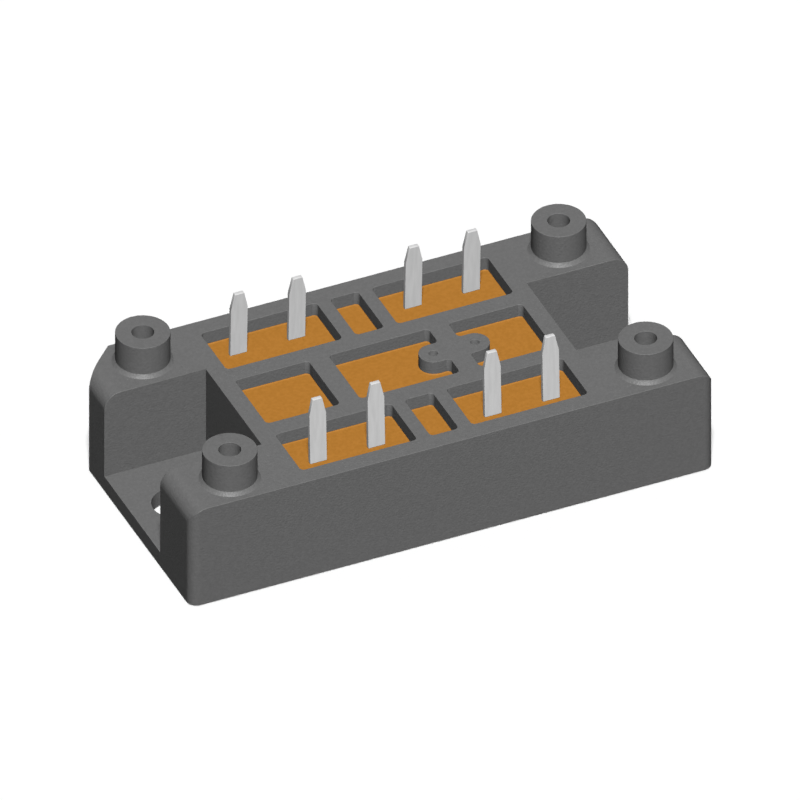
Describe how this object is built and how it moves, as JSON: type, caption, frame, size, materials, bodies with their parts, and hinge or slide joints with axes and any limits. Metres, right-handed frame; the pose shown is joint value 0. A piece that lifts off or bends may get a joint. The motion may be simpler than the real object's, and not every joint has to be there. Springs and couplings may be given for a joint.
{
  "type": "thyristor diode module",
  "caption": "Low rectangular power semiconductor module with end screw bays, board standoffs, a ribbed top over an epoxy filling, and rows of upright blade pins.",
  "frame": {"origin": "middle of the heatsink face, under the middle of the module", "axes": "+X along the module's length towards the end with the lugs, +Y towards the long side with the chamfered corner, +Z away from the heatsink, towards the printed board"},
  "size_m": [0.063, 0.0316, 0.02],
  "materials": {
    "housing_plastic": "satin moulded",
    "epoxy": "smooth cast",
    "gel": "soft, clear",
    "adhesive": "satin",
    "ceramic": "fired, satin",
    "copper": "bare, satin",
    "solder": "satin",
    "silicon": "metallised",
    "aluminium": "rolled",
    "tinned_copper": "matt tin plate"
  },
  "bodies": {
    "root": {"housing": "housing_plastic", "epoxy_cover": "epoxy", "silicone_gel": "gel", "seal_bead": "adhesive", "ceramic_plate": "ceramic", "base_copper": "copper", "minus_pad": "copper", "clip_solder": "solder", "pin_solder": "solder", "ac_pad_1": "copper", "ac_pad_2": "copper", "gate_pad_1": "copper", "gate_pad_2": "copper", "plus_pad_1": "copper", "plus_pad_2": "copper", "cathode_clip_1": "copper", "cathode_clip_2": "copper", "anode_clip_1": "copper", "anode_clip_2": "copper", "thyristor_solder_1": "solder", "thyristor_solder_2": "solder", "diode_solder_1": "solder", "diode_solder_2": "solder", "thyristor_chip_1": "silicon", "thyristor_chip_2": "silicon", "diode_chip_1": "silicon", "diode_chip_2": "silicon", "gate_ribbon_1": "aluminium", "gate_ribbon_2": "aluminium", "gate_pin_1": "tinned_copper", "gate_pin_2": "tinned_copper", "ac_pin_1": "tinned_copper", "ac_pin_2": "tinned_copper", "plus_pin_1": "tinned_copper", "plus_pin_2": "tinned_copper", "minus_pin_1": "tinned_copper", "minus_pin_2": "tinned_copper"}
  },
  "joints": []
}
